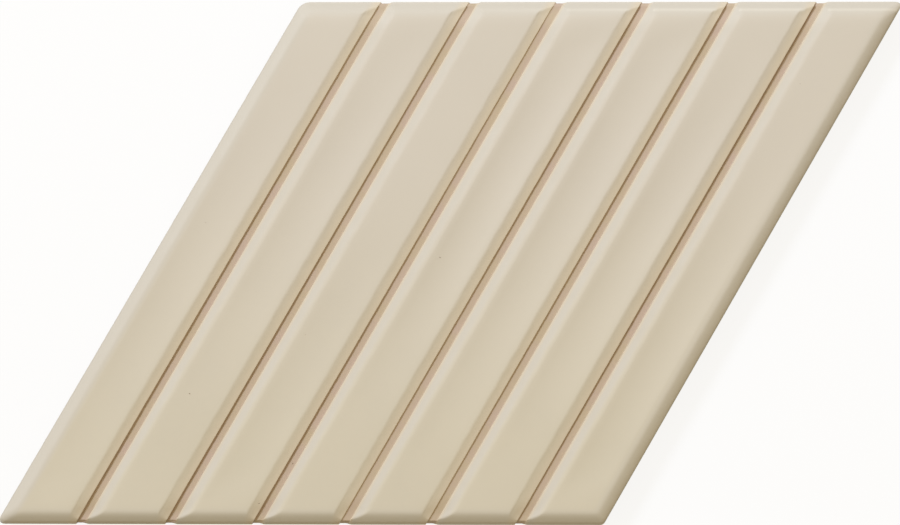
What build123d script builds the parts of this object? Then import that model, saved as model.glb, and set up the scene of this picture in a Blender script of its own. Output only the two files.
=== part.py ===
from build123d import *
from math import cos, radians, sin, tan
import os

# Ceramic wall tile: one pressed and fired piece, lying on its back.
# The plan is a rhombus. X runs along the straight ends, Z comes out of the glazed face.
# Seven bars with sloping shoulders and hollow tops run parallel to the slanted sides,
# with a sunk groove between each two.

# Plan of the tile
side = 152.0
acute_angle = 60.0
thickness = 9.0
acute_corner_radius = 0.8
obtuse_corner_radius = 3.0

# Bars and the grooves between them
bar_count = 7
bar_sag = 0.2
groove_width = 2.0
groove_depth = 1.3
groove_wall_slope = 80.0
groove_floor_radius = 0.15
rim_radius = 0.2
shoulder_slope = 17.0
shoulder_land = 1.7
shoulder_radius = 4.5

# Rounding that runs round the outside of the glazed face
edge_radius = 4.2
edge_slope = 36.0
edge_land = 0.5
lip_radius = 2.0
lip_slope = 75.0
bead_height = 0.4
side_draft = 4.0

# Keyed back, bedded in the adhesive
key_rows = 6
key_border = 9.0
key_rib = 4.0
key_depth = 0.8
key_corner_radius = 1.5

# How far the cutting shapes reach past the tile
reach = 6.0

# Across the bars, square to them
width = side * sin(radians(acute_angle))
bar_width = (width - (bar_count - 1) * groove_width) / bar_count

# Height of the groove floor and of the rim where a shoulder meets a groove wall
floor_height = thickness - groove_depth
shoulder_run = shoulder_land + shoulder_radius * sin(radians(shoulder_slope))
shoulder_drop = shoulder_land * tan(radians(shoulder_slope))
shoulder_drop += shoulder_radius * (1 - cos(radians(shoulder_slope)))
rim_height = thickness - shoulder_drop
wall_run = (rim_height - floor_height) / tan(radians(groove_wall_slope))

# The outer rounding from the flat down to the widest line of the tile
edge_run = edge_land + edge_radius * sin(radians(edge_slope))
edge_run += lip_radius * (sin(radians(lip_slope)) - sin(radians(edge_slope)))
bead_run = bead_height / tan(radians(lip_slope))
edge_run += bead_run
edge_drop = edge_land * tan(radians(edge_slope))
edge_drop += edge_radius * (1 - cos(radians(edge_slope)))
edge_drop += lip_radius * (cos(radians(edge_slope)) - cos(radians(lip_slope)))
widest_height = thickness - edge_drop - bead_height
skirt_run = (widest_height + reach) / tan(radians(lip_slope))

# Directions in plan
along_end = Vector(1, 0, 0)
along_bar = Vector(cos(radians(acute_angle)), sin(radians(acute_angle)), 0)
across_bars = Plane(
    origin=(0, 0, 0),
    x_dir=(sin(radians(acute_angle)), -cos(radians(acute_angle)), 0),
    z_dir=-along_bar,
)


def heading(angle):
    return (cos(radians(angle)), sin(radians(angle)))


def rhombus(length):
    end = along_end * (length / 2)
    bar = along_bar * (length / 2)
    return [-end - bar, end - bar, end + bar, bar - end]


def hollow_top(start, end):
    middle = (Vector(start) + Vector(end)) / 2
    ThreePointArc(start, middle - Vector(0, bar_sag), end)


def rising_edge(at):
    # Bead, lip, land and rounding, from outside the tile up to the flat of the face
    bead = Line((at - skirt_run, -reach), (at + bead_run, widest_height + bead_height))
    lip = JernArc(bead @ 1, heading(lip_slope), lip_radius, edge_slope - lip_slope)
    land = PolarLine(lip @ 1, edge_land / cos(radians(edge_slope)), angle=edge_slope)
    rounding = JernArc(land @ 1, heading(edge_slope), edge_radius, -edge_slope)
    return rounding @ 1


def falling_edge(start):
    rounding = JernArc(start, heading(0), edge_radius, -edge_slope)
    land = PolarLine(rounding @ 1, edge_land / cos(radians(edge_slope)), angle=-edge_slope)
    lip = JernArc(land @ 1, heading(-edge_slope), lip_radius, edge_slope - lip_slope)
    bead = Line(lip @ 1, (width / 2 + skirt_run, -reach))
    return bead @ 1


with BuildPart() as tile:
    # Bars and grooves, as one section drawn across the tile and run along the bars
    with BuildSketch(across_bars) as relief:
        with BuildLine():
            last_crest = rising_edge(-width / 2)
            for groove in range(1, bar_count):
                rim = -width / 2 + groove * bar_width + (groove - 1) * groove_width
                crest = (rim - shoulder_run, thickness)
                hollow_top(last_crest, crest)
                fall = JernArc(crest, heading(0), shoulder_radius, -shoulder_slope)
                Line(fall @ 1, (rim, rim_height))
                Line((rim, rim_height), (rim + wall_run, floor_height))
                next_rim = rim + groove_width
                Line((rim + wall_run, floor_height), (next_rim - wall_run, floor_height))
                Line((next_rim - wall_run, floor_height), (next_rim, rim_height))
                rise = PolarLine(
                    (next_rim, rim_height),
                    shoulder_land / cos(radians(shoulder_slope)),
                    angle=shoulder_slope,
                )
                crown = JernArc(
                    rise @ 1, heading(shoulder_slope), shoulder_radius, -shoulder_slope
                )
                last_crest = crown @ 1
            final_crest = (width / 2 - edge_run, thickness)
            hollow_top(last_crest, final_crest)
            foot = falling_edge(final_crest)
            Line(foot, (-width / 2 - skirt_run, -reach))
        make_face()
        low, high = edge_run - width / 2, width / 2 - edge_run
        rims = relief.vertices().filter_by_position(Axis.X, low, high).group_by(Axis.Y)[1]
        fillet(rims, rim_radius)
        feet = relief.vertices().filter_by_position(Axis.X, low, high).group_by(Axis.Y)[0]
        fillet(feet, groove_floor_radius)
    extrude(amount=side, both=True)

    # Rounded straight ends, the same section as the outer sides
    with BuildSketch(Plane.YZ):
        with BuildLine():
            near_crest = rising_edge(-width / 2)
            far_crest = (width / 2 - edge_run, thickness)
            Line(near_crest, far_crest)
            foot = falling_edge(far_crest)
            Line(foot, (-width / 2 - skirt_run, -reach))
        make_face()
    extrude(amount=side, both=True, mode=Mode.INTERSECT)

    # Outline with its rounded corners, drawn in towards the back by the draft of the mould
    back_side = side - 2 * widest_height * tan(radians(side_draft)) / sin(radians(acute_angle))
    with BuildSketch(Plane.XY) as outline:
        Polygon(*rhombus(back_side), align=None)
        corners = outline.vertices().sort_by(Axis.X)
        fillet([corners[0], corners[-1]], acute_corner_radius)
        corners = outline.vertices().sort_by(Axis((0, 0, 0), along_end - along_bar))
        fillet([corners[0], corners[-1]], obtuse_corner_radius)
    extrude(amount=thickness + reach, taper=-side_draft, mode=Mode.INTERSECT)

    # Shallow keys pressed into the back, in rows that follow the plan
    key_field = side - (2 * key_border - key_rib) / sin(radians(acute_angle))
    key_pitch = key_field / key_rows
    key_side = key_pitch - key_rib / sin(radians(acute_angle))
    middle = (key_rows - 1) / 2
    key_places = [
        (along_end * (column - middle) + along_bar * (row - middle)) * key_pitch
        for row in range(key_rows)
        for column in range(key_rows)
    ]
    with BuildSketch(Plane.XY) as keys:
        with Locations(*key_places):
            Polygon(*rhombus(key_side), align=None)
        fillet(keys.vertices(), key_corner_radius)
    extrude(amount=key_depth, mode=Mode.SUBTRACT)

os.makedirs("parts", exist_ok=True)
tile.part.label = "tile"
export_step(tile.part, "parts/tile.step")
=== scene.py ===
import bmesh
import bpy
from math import acos, cos, pi, radians, sin, sqrt, tan
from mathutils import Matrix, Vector
from mathutils.geometry import intersect_point_quad_2d


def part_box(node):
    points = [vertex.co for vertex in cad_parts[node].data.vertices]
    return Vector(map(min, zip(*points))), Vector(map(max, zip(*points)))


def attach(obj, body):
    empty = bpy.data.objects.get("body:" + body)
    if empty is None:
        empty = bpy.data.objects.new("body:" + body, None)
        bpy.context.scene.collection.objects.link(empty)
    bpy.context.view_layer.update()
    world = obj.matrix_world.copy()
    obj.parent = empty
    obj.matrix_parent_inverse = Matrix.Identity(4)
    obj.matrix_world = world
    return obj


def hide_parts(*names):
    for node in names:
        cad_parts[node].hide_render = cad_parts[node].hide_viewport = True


# A pressed ceramic wall tile with a satin beige glaze, lying on its back and seen from above.
# Lengths are in metres, and MM turns the tile's own sizes into them.

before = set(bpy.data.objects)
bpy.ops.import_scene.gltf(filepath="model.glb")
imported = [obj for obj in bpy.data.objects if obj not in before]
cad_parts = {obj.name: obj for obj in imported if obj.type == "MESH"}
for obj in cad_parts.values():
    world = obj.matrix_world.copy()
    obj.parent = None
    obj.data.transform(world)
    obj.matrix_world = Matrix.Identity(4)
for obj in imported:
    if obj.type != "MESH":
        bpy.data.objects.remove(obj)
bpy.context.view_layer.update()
MM = 0.001

# Plan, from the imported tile
TILE_LOW, TILE_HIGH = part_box("tile")
TOP = TILE_HIGH.z
WIDTH = TILE_HIGH.y - TILE_LOW.y
CORNER = radians(60)
SIDE = WIDTH / sin(CORNER)
ALONG_BAR = Vector((cos(CORNER), sin(CORNER), 0))
ALONG_END = Vector((1, 0, 0))
ACROSS = Vector((sin(CORNER), -cos(CORNER), 0))
ACUTE_RADIUS = 1.25 * MM
UPPER_OBTUSE_RADIUS = 3.4 * MM
LOWER_OBTUSE_RADIUS = 1.4 * MM

# Bars and grooves. A shoulder is steepest just under the flat and eases towards its groove.
BARS = 7
GROOVE_WIDTH = 2.0 * MM
# The floor of the shallowest groove, and how its walls rise
GROOVE_FLOOR = TOP - 1.07 * MM
WALL_SLOPE = radians(80)
FOOT_RADIUS = 0.15 * MM
RIM_RADIUS = 0.2 * MM
RIM_SLOPE = radians(12.5)
# Shoulders left and right of a groove, as (steepest slope, radius of the crest)
LEFT_SHOULDER = (radians(21.5), 2.0 * MM)
RIGHT_SHOULDER = (radians(16.5), 4.5 * MM)
# How far each groove's left rim lies below the flat, and every right rim
LEFT_DROPS = (0.73 * MM, 0.83 * MM, 0.78 * MM, 0.77 * MM, 0.71 * MM, 0.86 * MM)
RIGHT_DROP = 0.68 * MM
BAR_WIDTH = (WIDTH - (BARS - 1) * GROOVE_WIDTH) / BARS
PITCH = BAR_WIDTH + GROOVE_WIDTH
# How far each groove stands off its even place
GROOVE_WANDER = (0.31 * MM, 0.53 * MM, 0.34 * MM, 0.08 * MM, -0.23 * MM, -0.04 * MM)
GROOVES = [
    -WIDTH / 2 + (k + 1) * PITCH - GROOVE_WIDTH / 2 + wander
    for k, wander in enumerate(GROOVE_WANDER)
]

# How much deeper each groove is than the shallowest one, at its lower and its upper end
GROOVE_DEEPENING = (
    (0.39 * MM, 0.13 * MM), (0.45 * MM, 0.19 * MM), (0.41 * MM, 0.0 * MM),
    (0.04 * MM, 0.38 * MM), (0.0 * MM, 0.37 * MM), (0.24 * MM, 0.58 * MM),
)
MOST_DEEPENING = max(max(ends) for ends in GROOVE_DEEPENING)

# Rounding outside the face, from the flat outwards, as arcs of (radius, degrees of slope at its end)
LIP_DEGREES = 84
LIP_SLOPE = radians(LIP_DEGREES)
SIDE_ROUNDING = ((6 * MM, 5), (2.6 * MM, 25), (8.5 * MM, 40), (1.2 * MM, LIP_DEGREES))
END_ROUNDING = (
    (8 * MM, 7), (2.2 * MM, 28), (5.5 * MM, 41), (36 * MM, 42.5), (1.2 * MM, 54), (18 * MM, 57),
    (1 * MM, LIP_DEGREES),
)
# Height of the tile's widest line, and how far in from it the flat starts
WIDEST = TOP - 3.0 * MM
EDGE_RUN = 4.4 * MM

# Sides
SIDE_DRAFT = radians(4)
GLAZE_LINE = 4.3 * MM
GLAZE_LINE_WAVE = 1.6 * MM
GLAZE_THICKNESS = 0.12 * MM
UNEVEN_SIDES = 0.15 * MM
FOOT_BAND = 2 * MM
FOOT_ROUNDING = 0.4 * MM

# Keyed back
KEYS = 6
KEY_BORDER = 9.0 * MM
KEY_RIB = 4.0 * MM
KEY_DEPTH = 0.8 * MM
KEY_WALL = 0.35 * MM
KEY_CORNER = 1.4 * MM
# Turn of the tile while the border round the keys is filled
FILL_TURN = radians(15)

# The dish in the flat of each bar: middle along the bar, half length, depth
BAR_SAG = (
    (-8 * MM, 72 * MM, 0.32 * MM),
    (14 * MM, 62 * MM, 0.42 * MM),
    (-34 * MM, 62 * MM, 0.30 * MM),
    (16 * MM, 70 * MM, 0.60 * MM),
    (12 * MM, 78 * MM, 0.55 * MM),
    (2 * MM, 62 * MM, 0.60 * MM),
    (-22 * MM, 70 * MM, 0.42 * MM),
)
DEEPEST_SAG = max(depth for _, _, depth in BAR_SAG)
# How far the bars' corners and the upper end fall, how much the face swells and the crests wobble,
# and how often the mitred corners are smoothed
CORNER_FALL = 0.45 * MM
UPPER_END_FALL = 0.5 * MM
BROAD_SWELL = 0.10 * MM
CREST_WOBBLE = 0.45 * MM
MITRE_SMOOTHINGS = 8
# Dips in the outline at the ends of the grooves
NOTCH = 0.35 * MM
NOTCH_REACH = 1.6 * MM
# Pinholes in the glaze, as (x, y, radius)
PINHOLES = (
    (-2.7 * MM, 0.8 * MM, 0.16 * MM),
    (-65.3 * MM, -33.4 * MM, 0.17 * MM),
    (-36.7 * MM, -18.3 * MM, 0.07 * MM),
    (-39.5 * MM, -50.7 * MM, 0.18 * MM),
    (-48.0 * MM, -60.6 * MM, 0.17 * MM),
    (-104.3 * MM, -64.3 * MM, 0.17 * MM),
    (-61.3 * MM, 9.8 * MM, 0.08 * MM),
    (42.4 * MM, -14.1 * MM, 0.08 * MM),
    (87.4 * MM, 44.8 * MM, 0.09 * MM),
)
# A bevel profile this hollow opens a point into a round ring
RING_PROFILE = 0.086

# How finely the skins are drawn, in steps over each part
SMALL_ARC_STEPS = 4
SHOULDER_STEPS = 6
FLAT_STEPS = 9
EDGE_STEPS = 24
BAR_STEPS = 162
PLATE_STEPS = 30
# Zones along the rim of the face with closer steps, and how far its skin reaches past the tile
SIDE_ZONE = EDGE_RUN + 0.3 * MM
END_ZONE = 5 * MM
SIDE_OVERHANG = 0.1 * MM
END_OVERHANG = 0.12 * MM
PLATE_SKIRT = 9 * MM

# Colours of the glaze: its body, where it is thin or broken, and its pinholes, with painted light and
# shade among them
GLAZE_DEEP = (0.657, 0.574, 0.428, 1)
GLAZE_PALE = (0.679, 0.593, 0.442, 1)
GLAZE_MOTTLED = (0.694, 0.602, 0.442, 1)
# Painted light: a cooler tint towards the top, where the bluish lamp is stronger
GLAZE_PAINTED_KEY_TINT = (0.668, 0.586, 0.495, 1)
# Painted light: a dimmer, bluer tint on the lit sides and shoulders
GLAZE_PAINTED_LIT_TINT = (0.650, 0.577, 0.462, 1)
# Glaze breaking over the rims, and painted shade: a warmer tint on the shaded shoulders
GLAZE_ON_RIM_AND_SHADE = (0.696, 0.582, 0.418, 1)
GLAZE_THIN = (0.545, 0.420, 0.268, 1)
GLAZE_THIN_PINK = (0.553, 0.410, 0.300, 1)
# Painted shadow along the grooves' left walls
GLAZE_PAINTED_SHADOW = (0.40, 0.27, 0.165, 1)
# Painted highlight on the rounding of the upper end
GLAZE_PAINTED_HIGHLIGHT = (0.715, 0.640, 0.515, 1)
GLAZE_PINHOLE = (0.25, 0.17, 0.10, 1)

# Colours of the fired clay
CLAY_DEEP = (0.560, 0.435, 0.310, 1)
CLAY_PALE = (0.640, 0.515, 0.385, 1)
CLAY_GRIT = (0.36, 0.26, 0.18, 1)

# Floor, which is grey for the light that it gives back and pale where it is seen
FLOOR_GREY = (0.25, 0.25, 0.25, 1)
FLOOR_PALE = (0.95, 0.95, 0.95, 1)
FLOOR_GLOW = (1, 0.99, 0.975, 1)
GLOW_SHARE = 0.88

# Light and camera
LAMP_COLOUR = (0.80, 0.94, 1.24)
FILL_COLOUR = (1.19, 1.06, 0.76, 1)
FILL_STRENGTH = 0.52
CAMERA_PLACE = (0.0096, -0.0383, 0.660)
CAMERA_TURN = (radians(3.34), radians(0.87), radians(0.10))
CAMERA_LENS = 104.25


def only(piece):
    """Makes the piece the one selected and active object."""
    bpy.ops.object.select_all(action="DESELECT")
    piece.select_set(True)
    bpy.context.view_layer.objects.active = piece


def edit(piece):
    """Opens the piece's mesh for editing, with its points to be selected."""
    only(piece)
    bpy.ops.object.mode_set(mode="EDIT")
    bpy.ops.mesh.select_mode(type="VERT")


def leave_edit():
    """Closes the mesh that is open for editing."""
    bpy.ops.object.mode_set(mode="OBJECT")


def pick(piece, wanted):
    """Selects the points of the mesh in edit mode whose place is wanted."""
    mesh = bmesh.from_edit_mesh(piece.data)
    bpy.ops.mesh.select_all(action="DESELECT")
    for point in mesh.verts:
        point.select_set(wanted(point.co))
    mesh.select_flush_mode()
    bmesh.update_edit_mesh(piece.data)


def pick_faces(piece, wanted):
    """Selects the faces of the mesh in edit mode whose middle is wanted."""
    bpy.ops.mesh.select_mode(type="FACE")
    mesh = bmesh.from_edit_mesh(piece.data)
    bpy.ops.mesh.select_all(action="DESELECT")
    for panel in mesh.faces:
        panel.select_set(wanted(panel.calc_center_median()))
    bmesh.update_edit_mesh(piece.data)


def apply_modifier(piece, kind, **settings):
    """Adds a modifier with these settings to the piece and applies it."""
    modifier = piece.modifiers.new(kind.lower(), kind)
    for name, value in settings.items():
        setattr(modifier, name, value)
    only(piece)
    bpy.ops.object.modifier_apply(modifier=modifier.name)


def weigh(piece, weight):
    """Puts the points in a new group, each with the weight of its place."""
    group = piece.vertex_groups.new(name="weights")
    for point in piece.data.vertices:
        amount = weight(point.co)
        if amount > 0:
            group.add([point.index], amount, "REPLACE")
    return group


def push(piece, weight, direction, strength, texture=None):
    """Moves the points by strength times their weight, times the texture if there is one."""
    group = weigh(piece, weight)
    apply_modifier(
        piece, "DISPLACE", direction=direction, strength=strength, vertex_group=group.name,
        texture=texture, texture_coords="LOCAL", mid_level=0.5 if texture else 0,
    )
    piece.vertex_groups.remove(piece.vertex_groups["weights"])


def soften(piece, weight, repeats):
    """Smooths the heights of the points, as far as the weight of their place."""
    group = weigh(piece, weight)
    apply_modifier(
        piece, "SMOOTH", factor=0.5, iterations=repeats, use_x=False, use_y=False,
        vertex_group=group.name,
    )
    piece.vertex_groups.remove(piece.vertex_groups["weights"])


def clouds(name, grain):
    """A cloud texture with grains of about this length."""
    texture = bpy.data.textures.new(name, "CLOUDS")
    texture.noise_scale = grain
    return texture


def ramp(value, low, high):
    """Rises smoothly from 0 at low to 1 at high."""
    step = min(max((value - low) / (high - low), 0), 1)
    return step * step * (3 - 2 * step)


def arc(start, slope_from, slope_to, radius, steps):
    """Points (run, height) after start along an arc whose slope turns from one angle to the other."""
    points = []
    turn = 1 if slope_to > slope_from else -1
    for step in range(1, steps + 1):
        slope = slope_from + (slope_to - slope_from) * step / steps
        points.append((
            start[0] + turn * radius * (sin(slope) - sin(slope_from)),
            start[1] + turn * radius * (cos(slope_from) - cos(slope)),
        ))
    return points


def straight(start, run, rise, steps):
    """Points (run, height) after start along a straight line."""
    return [(start[0] + run * k / steps, start[1] + rise * k / steps) for k in range(1, steps + 1)]


def closer_at_start(span, steps, crowding=1.5):
    """Distances from 0 to span that lie closer together near 0."""
    return [span * (k / steps) ** crowding for k in range(steps + 1)]


def run_out(rounding, drop):
    """How far out from the flat a rounding has come where it is drop below the top."""
    run, slope_from = 0, 0
    for radius, degrees in rounding:
        slope_to = radians(degrees)
        arc_drop = radius * (cos(slope_from) - cos(slope_to))
        if drop < arc_drop:
            slope_to = acos(cos(slope_from) - drop / radius)
            return run + radius * (sin(slope_to) - sin(slope_from))
        run += radius * (sin(slope_to) - sin(slope_from))
        drop -= arc_drop
        slope_from = slope_to
    return run + drop / tan(LIP_SLOPE)


def half_groove(drop, slope, crest):
    """Half a groove as (distance out from its middle, height), from the floor up over the shoulder."""
    rim = (GROOVE_WIDTH / 2, TOP - drop)
    wall_run = (rim[1] - GROOVE_FLOOR) / tan(WALL_SLOPE)
    foot_reach = FOOT_RADIUS * tan(WALL_SLOPE / 2)
    rim_reach = RIM_RADIUS * tan((WALL_SLOPE - RIM_SLOPE) / 2)
    foot = (rim[0] - wall_run - foot_reach, GROOVE_FLOOR)
    points = [(0, GROOVE_FLOOR), (foot[0] / 2, GROOVE_FLOOR), foot]
    points += arc(foot, 0, WALL_SLOPE, FOOT_RADIUS, SMALL_ARC_STEPS)
    wall_top = (rim[0] - rim_reach * cos(WALL_SLOPE), rim[1] - rim_reach * sin(WALL_SLOPE))
    points += straight(points[-1], wall_top[0] - points[-1][0], wall_top[1] - points[-1][1], 2)
    points += arc(points[-1], WALL_SLOPE, RIM_SLOPE, RIM_RADIUS, SMALL_ARC_STEPS)
    crest_drop = crest * (1 - cos(slope))
    cove = (TOP - crest_drop - points[-1][1]) / (cos(RIM_SLOPE) - cos(slope))
    points += arc(points[-1], RIM_SLOPE, slope, cove, SHOULDER_STEPS)
    points += arc(points[-1], slope, 0, crest, SHOULDER_STEPS)
    return points


LEFT_HALVES = [half_groove(drop, *LEFT_SHOULDER) for drop in LEFT_DROPS]
RIGHT_HALF = half_groove(RIGHT_DROP, *RIGHT_SHOULDER)


def section_across():
    """The whole face from side to side as (place across the bars, height)."""
    reach = WIDTH / 2 + SIDE_OVERHANG
    inward = closer_at_start(SIDE_ZONE, EDGE_STEPS)
    points = [(-reach + distance, TOP) for distance in inward]
    for middle, left_half in zip(GROOVES, LEFT_HALVES):
        crest = middle - left_half[-1][0]
        points += straight(points[-1], crest - points[-1][0], 0, FLAT_STEPS)[:-1]
        points += [(middle - out, height) for out, height in reversed(left_half)]
        points += [(middle + out, height) for out, height in RIGHT_HALF[1:]]
    points += straight(points[-1], reach - inward[-1] - points[-1][0], 0, FLAT_STEPS)[:-1]
    points += [(reach - distance, TOP) for distance in reversed(inward)]
    return points


def rows_along():
    """Places along the bars of the rows of the face, close together near both ends."""
    reach = SIDE / 2 + END_OVERHANG
    inward = closer_at_start(END_ZONE, EDGE_STEPS)
    near = [-reach + distance for distance in inward]
    middle = straight((near[-1], 0), -2 * near[-1], 0, BAR_STEPS)
    return near + [place for place, _ in middle[:-1]] + [-place for place in reversed(near)]


def press_plate():
    """The mould's outer rounding: an open skin on a square plan, then drawn into the rhombus."""
    depth = TOP - WIDEST
    drops = [depth + PLATE_SKIRT] + closer_at_start(depth, PLATE_STEPS, crowding=1.6)[::-1]

    def half_widths(drop):
        inward = [
            run_out(rounding, depth) - run_out(rounding, drop)
            for rounding in (SIDE_ROUNDING, END_ROUNDING)
        ]
        return [1 - distance / (WIDTH / 2) for distance in inward]

    bpy.ops.object.select_all(action="DESELECT")
    bpy.ops.mesh.primitive_plane_add(size=2, location=(0, 0, TOP - drops[0]))
    plate = bpy.context.object
    plate.name = "press_plate"
    plate.scale = (*half_widths(drops[0]), 1)
    bpy.ops.object.transform_apply()
    edit(plate)
    # Corners as (radius, half the angle, side it is on in X, side it is on in Y)
    corners = (
        (ACUTE_RADIUS, CORNER / 2, 1, 1), (UPPER_OBTUSE_RADIUS, CORNER, -1, 1),
        (ACUTE_RADIUS, CORNER / 2, -1, -1), (LOWER_OBTUSE_RADIUS, CORNER, 1, -1),
    )
    for radius, half_angle, right, up in corners:
        pick(plate, lambda place: place.x * right > 0.9 and place.y * up > 0.9)
        offset = radius / tan(half_angle) / (SIDE / 2)
        bpy.ops.mesh.bevel(offset=offset, segments=8, affect="VERTICES")
    bpy.ops.mesh.select_all(action="SELECT")
    bpy.ops.mesh.delete(type="ONLY_FACE")
    bpy.ops.mesh.select_all(action="SELECT")
    for below, above in zip(drops, drops[1:]):
        wide, narrow = half_widths(below), half_widths(above)
        bpy.ops.mesh.extrude_edges_move(TRANSFORM_OT_translate={"value": (0, 0, below - above)})
        shrink = (narrow[0] / wide[0], narrow[1] / wide[1], 1)
        bpy.ops.transform.resize(value=shrink, center_override=(0, 0, 0))
    leave_edit()
    draw_into_rhombus(plate)
    return plate


def draw_into_rhombus(piece):
    """Turns a square of half width 1 into the tile's plan: an eighth of a turn, a stretch, a turn."""
    stretch = SIDE / 2 * sqrt(2)
    steps = (
        (-pi / 4, (1, 1, 1)),
        (0, (stretch * cos(CORNER / 2), stretch * sin(CORNER / 2), 1)),
        (CORNER / 2, (1, 1, 1)),
    )
    only(piece)
    for turn, scale in steps:
        piece.rotation_euler.z = turn
        piece.scale = scale
        bpy.ops.object.transform_apply()


def drawn_out(name, start, steps_across, steps_along, looks_up):
    """A skin drawn point by point with the steps across, then drawn out with the steps along."""
    bpy.ops.object.select_all(action="DESELECT")
    bpy.ops.mesh.primitive_plane_add(size=MM, location=start)
    skin = bpy.context.object
    skin.name = name
    bpy.ops.object.transform_apply()
    edit(skin)
    bpy.ops.mesh.select_all(action="SELECT")
    bpy.ops.mesh.merge(type="CENTER")
    for step in steps_across:
        bpy.ops.mesh.extrude_vertices_move(TRANSFORM_OT_translate={"value": step})
    bpy.ops.mesh.select_all(action="SELECT")
    for step in steps_along:
        bpy.ops.mesh.extrude_edges_move(TRANSFORM_OT_translate={"value": step})
    bpy.ops.mesh.select_all(action="SELECT")
    bpy.ops.mesh.normals_make_consistent(inside=False)
    if (bmesh.from_edit_mesh(skin.data).faces[:][0].normal.z > 0) != looks_up:
        bpy.ops.mesh.flip_normals()
    leave_edit()
    return skin


def pressed_face():
    """The glazed face: its section drawn out along the bars, then pressed down round its edges."""
    section = section_across()
    rows = rows_along()
    first_across, first_height = section[0]
    start = ALONG_END * (first_across / sin(CORNER)) + ALONG_BAR * rows[0]
    start += Vector((0, 0, first_height))
    across = [
        ((there[0] - here[0]) / sin(CORNER), 0, there[1] - here[1])
        for here, there in zip(section, section[1:])
    ]
    along = [ALONG_BAR * (there - here) for here, there in zip(rows, rows[1:])]
    face = drawn_out("glazed_tile", start, across, along, looks_up=True)
    push(face, corner_weight, "Z", -CORNER_FALL)
    plate = press_plate()
    apply_modifier(
        face, "SHRINKWRAP", target=plate, wrap_method="PROJECT", use_project_z=True,
        use_positive_direction=False, use_negative_direction=True,
    )
    bpy.data.objects.remove(plate)
    return face


def beside_groove(place):
    """How far right of the nearest groove's middle the place is."""
    across = place.dot(ACROSS)
    return min((across - middle for middle in GROOVES), key=abs)


def from_rim(place):
    """How far outside the nearest groove's rims the place is, less than 0 within the groove."""
    return abs(beside_groove(place)) - GROOVE_WIDTH / 2


def corner_weight(place):
    """Grooves' ends and the bars' corners beside them, which fall away before the rounding."""
    near_end = ramp(abs(place.y), WIDTH / 2 - 7 * MM, WIDTH / 2 - 2 * MM)
    return near_end * (1 - ramp(from_rim(place), 0, 3.4 * MM))


def on_face(place):
    """Full on the face, fading out down its edge before the widest line."""
    return ramp(place.z, WIDEST + 0.2 * MM, WIDEST + 1.2 * MM)


def nearest_groove(place):
    """Which groove is nearest, counted from the left."""
    across = place.dot(ACROSS)
    return min(range(BARS - 1), key=lambda k: abs(GROOVES[k] - across))


def deepening(place):
    """How much the nearest groove is deepened at the place, as a share of the most."""
    lower, upper = GROOVE_DEEPENING[nearest_groove(place)]
    return (lower + (upper - lower) * (place.y / WIDTH + 0.5)) / MOST_DEEPENING


def deepening_weight(place):
    """Full on the floors of the grooves, fading up their walls."""
    if from_rim(place) > 0:
        return 0
    rim = TOP - (LEFT_DROPS[nearest_groove(place)] if beside_groove(place) < 0 else RIGHT_DROP)
    return deepening(place) * ramp(rim - place.z, 0, 0.15 * MM) * on_face(place)


def sag_weight(place):
    """A shallow dish in the flat of each bar, deepest at its middle, as a share of the deepest one."""
    across = place.dot(ACROSS)
    bar = sum(across > middle for middle in GROOVES)
    left = GROOVES[bar - 1] + RIGHT_HALF[-1][0] if bar > 0 else EDGE_RUN - WIDTH / 2
    right = GROOVES[bar] - LEFT_HALVES[bar][-1][0] if bar < BARS - 1 else WIDTH / 2 - EDGE_RUN
    middle, half_length, depth = BAR_SAG[bar]
    over = (across - left) / (right - left)
    away = abs(place.y - middle) / half_length
    if not 0 < over < 1 or away > 1:
        return 0
    inside = ramp(WIDTH / 2 - abs(place.y), EDGE_RUN, 3 * EDGE_RUN)
    return depth / DEEPEST_SAG * 4 * over * (1 - over) * (1 - away ** 2) ** 2 * inside


def mitre_weight(place):
    """The bars' corners, where the shoulders run into the rounding of the ends."""
    near_end = ramp(abs(place.y), WIDTH / 2 - 2 * EDGE_RUN, WIDTH / 2 - 1.5 * EDGE_RUN)
    inside = max(abs(place.y), abs(place.dot(ACROSS))) < WIDTH / 2 - 1.2 * MM
    return near_end * ramp(from_rim(place), 0.1 * MM, 0.5 * MM) * inside


def upper_end_weight(place):
    """The upper end of the face, which falls a little towards its edge."""
    return on_face(place) * ramp(place.y, WIDTH / 2 - 6 * MM, WIDTH / 2)


def crest_weight(place):
    """Most at the crests, where the shoulders meet the flats, and a little in the grooves."""
    crest = max(1 - abs(from_rim(place) - 2.2 * MM) / (1.4 * MM), 0)
    return (0.25 + 0.75 * crest) * on_face(place)


def settle(tile):
    """Gives the face its dishes, its swell and its other uneven forms."""
    push(tile, sag_weight, "Z", -DEEPEST_SAG)
    push(tile, upper_end_weight, "Z", -UPPER_END_FALL)
    soften(tile, mitre_weight, MITRE_SMOOTHINGS)
    push(tile, on_face, "Z", BROAD_SWELL, clouds("broad_swell", 28 * MM))
    push(tile, deepening_weight, "Z", -MOST_DEEPENING)
    push(tile, crest_weight, "X", CREST_WOBBLE, clouds("hand_finish", 3.5 * MM))


def leave_as_clay(tile, height):
    """Gives the faces below the height the bare clay, and leaves edit mode."""
    pick_faces(tile, lambda place: place.z < height)
    tile.active_material_index = 1
    bpy.ops.object.material_slot_assign()
    leave_edit()


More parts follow.
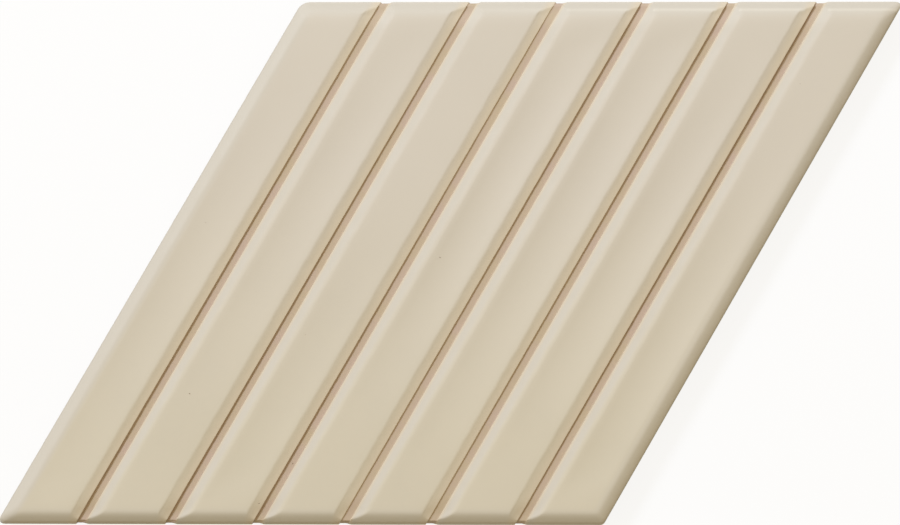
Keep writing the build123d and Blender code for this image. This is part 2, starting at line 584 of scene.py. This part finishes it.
def close_sides(tile):
    """Draws the rim down to the back: glazed for a little way, then bare clay, rounded at the foot."""
    edit(tile)
    bpy.ops.mesh.select_all(action="SELECT")
    bpy.ops.mesh.bisect(
        plane_co=(0, 0, WIDEST), plane_no=(0, 0, 1), clear_inner=True, threshold=0.01 * MM * MM,
    )
    bpy.ops.mesh.select_all(action="DESELECT")
    bpy.ops.mesh.select_non_manifold()
    # Rings down the side as (height, how far it is tucked in from the draft)
    rings = [
        (WIDEST - 0.4 * MM, 0),
        (WIDEST - 1.1 * MM, 0),
        (GLAZE_LINE + 0.3 * MM, 0),
        (GLAZE_LINE + 0.08 * MM, 0.25 * GLAZE_THICKNESS),
        (GLAZE_LINE, GLAZE_THICKNESS),
        (GLAZE_LINE - 0.5 * MM, GLAZE_THICKNESS),
        (FOOT_BAND, GLAZE_THICKNESS),
        (FOOT_ROUNDING, GLAZE_THICKNESS),
        (0.3 * FOOT_ROUNDING, GLAZE_THICKNESS + 0.2 * FOOT_ROUNDING),
        (0, GLAZE_THICKNESS + 0.9 * FOOT_ROUNDING),
    ]
    height, half_width = WIDEST, WIDTH / 2
    for ring_height, tuck in rings:
        new_half = WIDTH / 2 - (WIDEST - ring_height) * tan(SIDE_DRAFT) - tuck
        shrink = new_half / half_width
        down = (0, 0, ring_height - height)
        bpy.ops.mesh.extrude_edges_move(TRANSFORM_OT_translate={"value": down})
        bpy.ops.transform.resize(value=(shrink, shrink, 1), center_override=(0, 0, 0))
        height, half_width = ring_height, new_half
    leave_as_clay(tile, GLAZE_LINE - 0.1 * MM)


def notch_weight(place):
    """The dip at each groove's end: sudden at its left rim, easing out at its right one."""
    over = beside_groove(place) + GROOVE_WIDTH / 2
    dip = ramp(over, -0.1 * MM, 0.15 * MM) * (1 - ramp(over, 0.7 * GROOVE_WIDTH, 1.4 * GROOVE_WIDTH))
    near_end = ramp(abs(place.y), WIDTH / 2 - NOTCH_REACH, WIDTH / 2)
    return dip * near_end * ramp(place.z, FOOT_BAND, WIDEST)


def glaze_line_weight(place):
    """Most at the line where the glaze ends on the sides."""
    return 1 - ramp(abs(place.z - GLAZE_LINE), 0.1 * MM, 1.2 * MM)


def below_face_weight(place):
    """The sides under the rounding, down to a little above the back."""
    return ramp(WIDEST - place.z, 0.5 * MM, 1.5 * MM) * ramp(place.z, 0, 1 * MM)


def wear_sides(tile):
    """Dips at the grooves' ends, the wavy lower line of the glaze and sides that aren't quite flat."""
    push(tile, lambda place: notch_weight(place) * (place.y > 0), "Y", -NOTCH)
    push(tile, lambda place: notch_weight(place) * (place.y < 0), "Y", NOTCH)
    push(tile, glaze_line_weight, "Z", GLAZE_LINE_WAVE, clouds("glaze_runs", 5 * MM))
    push(tile, below_face_weight, "NORMAL", UNEVEN_SIDES, clouds("uneven_sides", 7 * MM))


def prick(tile):
    """Pricks each pinhole: a point added in the face under it, opened into a ring and sunk.

    Gives each hole's place in plan and its radius.
    """
    pricked = []
    edit(tile)
    for x, y, radius in PINHOLES:
        bpy.ops.mesh.select_mode(type="FACE")
        mesh = bmesh.from_edit_mesh(tile.data)
        bpy.ops.mesh.select_all(action="DESELECT")
        struck = next(
            panel for panel in mesh.faces if len(panel.verts) == 4 and panel.normal.z > 0.5
            and intersect_point_quad_2d(Vector((x, y)), *[corner.co.xy for corner in panel.verts])
        )
        # Half way to the face's middle, so that the ring stays inside the face
        middle = struck.calc_center_median()
        hole = middle.xy.lerp(Vector((x, y)), 0.5)
        pricked.append((hole, radius))
        struck.select_set(True)
        bmesh.update_edit_mesh(tile.data)
        bpy.ops.mesh.poke()
        bpy.ops.mesh.select_mode(type="VERT")
        pick(tile, lambda point: (point - middle).length < 0.01 * MM)
        bpy.ops.transform.translate(value=(*(hole - middle.xy), 0))
        bpy.ops.mesh.bevel(offset=radius, segments=2, profile=RING_PROFILE, affect="VERTICES")
        bpy.ops.mesh.select_mode(type="FACE")
        bpy.ops.mesh.inset(thickness=0.4 * radius, depth=-0.6 * radius)
    leave_edit()
    return pricked


def keyed_back():
    """The lands and keys of the back: a field of rhombic cells, each pressed in with rounded corners."""
    field = SIDE - (2 * KEY_BORDER - KEY_RIB) / sin(CORNER)
    cell = field / KEYS
    start = (ALONG_END + ALONG_BAR) * (-field / 2)
    across = [ALONG_END * cell] * KEYS
    along = [ALONG_BAR * cell] * KEYS
    back = drawn_out("keyed_back", start, across, along, looks_up=False)
    edit(back)
    bpy.ops.mesh.select_mode(type="FACE")
    bpy.ops.mesh.select_all(action="SELECT")
    bpy.ops.mesh.inset(use_individual=True, thickness=KEY_RIB / 2)
    bpy.ops.mesh.inset(use_individual=True, thickness=KEY_WALL, depth=-KEY_DEPTH)
    bpy.ops.mesh.select_mode(type="EDGE")
    # The walls' edges at the keys' acute corners, then those at the obtuse ones
    for least, most, half_corner in ((90, 180, CORNER / 2), (45, 90, CORNER)):
        mesh = bmesh.from_edit_mesh(back.data)
        bpy.ops.mesh.select_all(action="DESELECT")
        for edge in mesh.edges:
            rises = abs(edge.verts[0].co.z - edge.verts[1].co.z) > KEY_DEPTH / 2
            edge.select_set(rises and radians(least) < edge.calc_face_angle() < radians(most))
        bmesh.update_edit_mesh(back.data)
        bpy.ops.mesh.bevel(offset=KEY_CORNER / tan(half_corner), segments=5, affect="EDGES")
    leave_edit()
    return back


def close_back(tile, back):
    """Joins the keyed field into the tile and fills the plain border round it."""
    only(tile)
    back.select_set(True)
    bpy.ops.object.join()
    edit(tile)
    # Turned a little meanwhile, because fill leaves slivers along a border that runs with an axis
    bpy.ops.mesh.select_all(action="SELECT")
    bpy.ops.transform.rotate(value=FILL_TURN, orient_axis="Z", center_override=(0, 0, 0))
    bpy.ops.mesh.select_all(action="DESELECT")
    bpy.ops.mesh.select_non_manifold()
    bpy.ops.mesh.fill(use_beauty=False)
    bpy.ops.mesh.select_all(action="SELECT")
    bpy.ops.transform.rotate(value=-FILL_TURN, orient_axis="Z", center_override=(0, 0, 0))
    bpy.ops.mesh.normals_make_consistent(inside=False)
    leave_as_clay(tile, FOOT_BAND)


def mark(piece, name, value):
    """Stores the value of each point's place under this name, for a material to read."""
    layer = piece.data.attributes.new(name, "FLOAT", "POINT")
    layer.data.foreach_set("value", [value(point.co) for point in piece.data.vertices])


def node(material, kind, settings=(), **inputs):
    """Adds a node with settings, and inputs that are values or other nodes' outputs."""
    made = material.node_tree.nodes.new(kind)
    for name, value in settings:
        setattr(made, name, value)
    for name, value in inputs.items():
        join(material, value, made.inputs[name.replace("_", " ")])
    return made


def join(material, value, socket):
    """Links a socket to another node's output, or sets its value."""
    if isinstance(value, bpy.types.NodeSocket):
        material.node_tree.links.new(value, socket)
    else:
        socket.default_value = value


def blend(material, factor, first, second):
    """Mixes two colours and gives the colour that comes out."""
    mix = node(material, "ShaderNodeMix", [("data_type", "RGBA")])
    join(material, factor, mix.inputs[0])
    join(material, first, mix.inputs[6])
    join(material, second, mix.inputs[7])
    return mix.outputs[2]


def noise(material, grain, detail, roughness=0.5):
    """A noise on the tile's own place, with grains of about this length."""
    place = node(material, "ShaderNodeTexCoord").outputs["Object"]
    made = node(
        material, "ShaderNodeTexNoise", Vector=place, Scale=1 / grain, Detail=detail,
        Roughness=roughness,
    )
    return made.outputs[0]


def spread(material, value, low, high, new_low, new_high):
    """Carries a value from one range to another."""
    made = node(
        material, "ShaderNodeMapRange", From_Min=low, From_Max=high, To_Min=new_low, To_Max=new_high,
    )
    join(material, value, made.inputs["Value"])
    return made.outputs[0]


def attribute(material, name):
    """The value that is stored on the mesh under this name."""
    return node(material, "ShaderNodeAttribute", [("attribute_name", name)]).outputs["Fac"]


def new_material(name):
    """A new material and its shader."""
    material = bpy.data.materials.new(name)
    material.use_nodes = True
    return material, material.node_tree.nodes["Principled BSDF"]


def satin_glaze():
    """Beige satin glaze: pinkish in the grooves, warm on the rims, with faint clouds and peel, and
    painted light: cooler towards the top, tinted on lit sides, warmer on shaded shoulders, with shadow
    lines along the grooves and a highlight on the upper end.
    """
    material, shader = new_material("satin_glaze")
    cloud = spread(material, noise(material, 24 * MM, 3), 0.35, 0.65, 0, 1)
    body = blend(material, cloud, GLAZE_DEEP, GLAZE_PALE)
    mottle = spread(material, noise(material, 2.5 * MM, 4, 0.6), 0.3, 0.7, 0, 0.26)
    body = blend(material, mottle, body, GLAZE_MOTTLED)
    place = node(material, "ShaderNodeTexCoord").outputs["Object"]
    toward_top = node(material, "ShaderNodeSeparateXYZ", Vector=place).outputs["Y"]
    # Painted light: the glaze turns cooler towards the top, where the bluish lamp is stronger
    painted_key_tint = spread(material, toward_top, -45 * MM, 25 * MM, 0, 0.5)
    body = blend(material, painted_key_tint, body, GLAZE_PAINTED_KEY_TINT)
    # Painted light: a dimmer, bluer tint on the lit edges and shoulders, less on the shaded edges
    body = blend(material, attribute(material, "painted_lit_tint"), body, GLAZE_PAINTED_LIT_TINT)
    # Glaze breaking over the rims, and painted shade: a warmer tint over the shaded shoulders left of
    # the grooves
    body = blend(material, attribute(material, "rim_break_and_shade_tint"), body, GLAZE_ON_RIM_AND_SHADE)
    patch = spread(material, noise(material, 7 * MM, 2), 0.35, 0.65, 0, 1)
    thin = blend(material, patch, GLAZE_THIN, GLAZE_THIN_PINK)
    body = blend(material, attribute(material, "thin_glaze"), body, thin)
    # Painted shadow and crease shade along each groove's left wall
    body = blend(material, attribute(material, "painted_groove_shadow"), body, GLAZE_PAINTED_SHADOW)
    # Painted highlight along the upper end's rounding
    body = blend(material, attribute(material, "painted_end_highlight"), body, GLAZE_PAINTED_HIGHLIGHT)
    body = blend(material, attribute(material, "pinhole"), body, GLAZE_PINHOLE)
    join(material, body, shader.inputs["Base Color"])
    gloss = spread(material, noise(material, 6 * MM, 3), 0.3, 0.7, 0.60, 0.70)
    join(material, gloss, shader.inputs["Roughness"])
    peel = node(
        material, "ShaderNodeBump", Strength=0.35, Distance=0.03 * MM,
        Height=noise(material, 1.6 * MM, 2),
    )
    grain = node(
        material, "ShaderNodeBump", Strength=0.25, Distance=0.008 * MM,
        Height=noise(material, 0.3 * MM, 2), Normal=peel.outputs[0],
    )
    join(material, grain.outputs[0], shader.inputs["Normal"])
    return material


def bare_clay():
    """Fired tan body under the glaze: dull, fine grained, with a few darker grains."""
    material, shader = new_material("bare_clay")
    cloud = spread(material, noise(material, 9 * MM, 4), 0.3, 0.7, 0, 1)
    body = blend(material, cloud, CLAY_DEEP, CLAY_PALE)
    grit = spread(material, noise(material, 0.5 * MM, 3, 0.7), 0.60, 0.72, 0, 0.6)
    body = blend(material, grit, body, CLAY_GRIT)
    join(material, body, shader.inputs["Base Color"])
    shader.inputs["Roughness"].default_value = 0.92
    rough = node(
        material, "ShaderNodeBump", Strength=0.6, Distance=0.06 * MM,
        Height=noise(material, 0.45 * MM, 5, 0.65),
    )
    join(material, rough.outputs[0], shader.inputs["Normal"])
    return material


def pale_floor():
    """A floor that shows pale to the camera and in reflections, and still takes the tile's shadow."""
    material = bpy.data.materials.new("pale_floor")
    material.use_nodes = True
    material.node_tree.nodes.clear()
    surface = node(material, "ShaderNodeBsdfDiffuse")
    shine = node(material, "ShaderNodeEmission", Color=FLOOR_GLOW, Strength=1.0)
    rays = node(material, "ShaderNodeLightPath")
    seen = rays.outputs["Is Camera Ray"]
    for kind in ("Is Glossy Ray", "Is Transmission Ray"):
        larger = node(material, "ShaderNodeMath", [("operation", "MAXIMUM")])
        join(material, seen, larger.inputs[0])
        join(material, rays.outputs[kind], larger.inputs[1])
        seen = larger.outputs[0]
    join(material, blend(material, seen, FLOOR_GREY, FLOOR_PALE), surface.inputs["Color"])
    share = node(material, "ShaderNodeMath", [("operation", "MULTIPLY")])
    join(material, seen, share.inputs[0])
    share.inputs[1].default_value = GLOW_SHARE
    mix = node(material, "ShaderNodeMixShader")
    join(material, share.outputs[0], mix.inputs[0])
    join(material, surface.outputs[0], mix.inputs[1])
    join(material, shine.outputs[0], mix.inputs[2])
    output = node(material, "ShaderNodeOutputMaterial")
    join(material, mix.outputs[0], output.inputs["Surface"])
    return material


def glazed(place):
    """Full on the glazed face and its rounding, fading out under the widest line."""
    return ramp(place.z, WIDEST - 1.5 * MM, WIDEST - 0.3 * MM)


def thin_glaze(place):
    """The floors and walls of the grooves."""
    return glazed(place) * (1 - ramp(from_rim(place), -0.16 * MM, -0.02 * MM))


def rim_break_and_shade_tint(place):
    """The glaze breaks over the rims, and a painted warm shade tint lies over the shaded shoulders left
    of the grooves.
    """
    low, high = (0.3 * MM, 2.9 * MM) if beside_groove(place) < 0 else (0.05 * MM, 0.7 * MM)
    return glazed(place) * (1 - ramp(from_rim(place), low, high))


def painted_lit_tint(place):
    """Painted light: a tint on the lit outer edges, less on the shaded ones, and on the lit shoulders
    right of the grooves.
    """
    across = place.dot(ACROSS)
    lit = 1 - ramp(WIDTH / 2 - max(place.y, -across), 3 * MM, 4.6 * MM)
    shaded = 0.5 - 0.5 * ramp(WIDTH / 2 - max(-place.y, across), 3 * MM, 4.6 * MM)
    right_shoulder = (1 - ramp(from_rim(place), 1.4 * MM, 2.6 * MM)) * (beside_groove(place) > 0)
    return glazed(place) * max(lit, shaded, right_shoulder)


def painted_groove_shadow(place):
    """Painted shadow: the dark line of cast shadow and crease shade along each groove's left wall,
    darker where the groove is deeper.
    """
    off_wall = abs(beside_groove(place) + GROOVE_WIDTH / 2 - 0.08 * MM)
    if off_wall > 0.18 * MM:
        return 0
    return glazed(place) * (1 - ramp(off_wall, 0.08 * MM, 0.18 * MM)) * (0.3 + 0.65 * deepening(place))


def painted_end_highlight(place):
    """A painted highlight: a pale streak on the rounding of the upper end, stronger to the right."""
    away = abs(WIDTH / 2 - 2.3 * MM - place.y)
    streak = (1 - ramp(away, 0.05 * MM, 0.6 * MM)) * ramp(place.x, -10 * MM, 60 * MM)
    return streak * (from_rim(place) > 1.5 * MM)


def mark_glaze(tile, pinholes):
    """Marks where the glaze is thin, where it breaks and where it has pinholes, and where light and
    shade are painted: lit sides, shaded shoulders, groove shadows and the upper end's highlight.
    """

    def pricked(place):
        away = min((place.xy - middle).length / radius for middle, radius in pinholes)
        return (1 - ramp(away, 0.7, 0.9)) * glazed(place)

    mark(tile, "thin_glaze", thin_glaze)
    mark(tile, "rim_break_and_shade_tint", rim_break_and_shade_tint)
    mark(tile, "painted_lit_tint", painted_lit_tint)
    mark(tile, "painted_groove_shadow", painted_groove_shadow)
    mark(tile, "pinhole", pricked)
    mark(tile, "painted_end_highlight", painted_end_highlight)


def glazed_tile():
    """The whole tile as one closed mesh, riding on the CAD's body."""
    tile = pressed_face()
    tile.data.materials.append(satin_glaze())
    tile.data.materials.append(bare_clay())
    settle(tile)
    close_sides(tile)
    wear_sides(tile)
    pinholes = prick(tile)
    close_back(tile, keyed_back())
    mark_glaze(tile, pinholes)
    only(tile)
    bpy.ops.object.shade_smooth_by_angle(angle=radians(40))
    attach(tile, "root")
    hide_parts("tile")


def soft_lamp(name, zenith, azimuth, distance, size, share):
    """A bluish lamp that faces the tile from these angles and gives it this share of its light."""
    zenith, azimuth = radians(zenith), radians(azimuth)
    data = bpy.data.lights.new(name, "AREA")
    lamp = bpy.data.objects.new(name, data)
    bpy.context.scene.collection.objects.link(lamp)
    towards = Vector((sin(zenith) * cos(azimuth), sin(zenith) * sin(azimuth), cos(zenith)))
    lamp.location = towards * distance
    lamp.rotation_euler = lamp.location.to_track_quat("Z", "Y").to_euler()
    data.shape = "ELLIPSE"
    data.size, data.size_y = size
    data.color = LAMP_COLOUR
    data.energy = share * pi / cos(zenith) * distance ** 2 * pi


def studio():
    """Floor, soft light from the top left with a warm fill all round, and the camera overhead."""
    bpy.ops.object.select_all(action="DESELECT")
    bpy.ops.mesh.primitive_plane_add(size=2)
    floor = bpy.context.object
    floor.name = "floor"
    floor.data.materials.append(pale_floor())

    soft_lamp("softbox", zenith=43, azimuth=133, distance=2.0, size=(0.5, 0.5), share=0.417)
    soft_lamp("top_strip", zenith=57, azimuth=72, distance=0.40, size=(0.4, 0.06), share=0.08)

    world = bpy.data.worlds.new("studio")
    world.use_nodes = True
    towards = node(world, "ShaderNodeTexCoord").outputs["Generated"]
    toward_top = node(world, "ShaderNodeSeparateXYZ", Vector=towards).outputs["Y"]
    light = spread(world, toward_top, -1, -0.5, 0.15, 1)
    background = world.node_tree.nodes["Background"]
    join(world, blend(world, light, (0, 0, 0, 1), FILL_COLOUR), background.inputs["Color"])
    background.inputs["Strength"].default_value = FILL_STRENGTH
    bpy.context.scene.world = world

    camera_data = bpy.data.cameras.new("camera")
    camera = bpy.data.objects.new("camera", camera_data)
    bpy.context.scene.collection.objects.link(camera)
    camera.location = CAMERA_PLACE
    camera.rotation_euler = CAMERA_TURN
    camera_data.lens = CAMERA_LENS
    bpy.context.scene.camera = camera
    bpy.context.scene.view_settings.view_transform = "Standard"


glazed_tile()
studio()
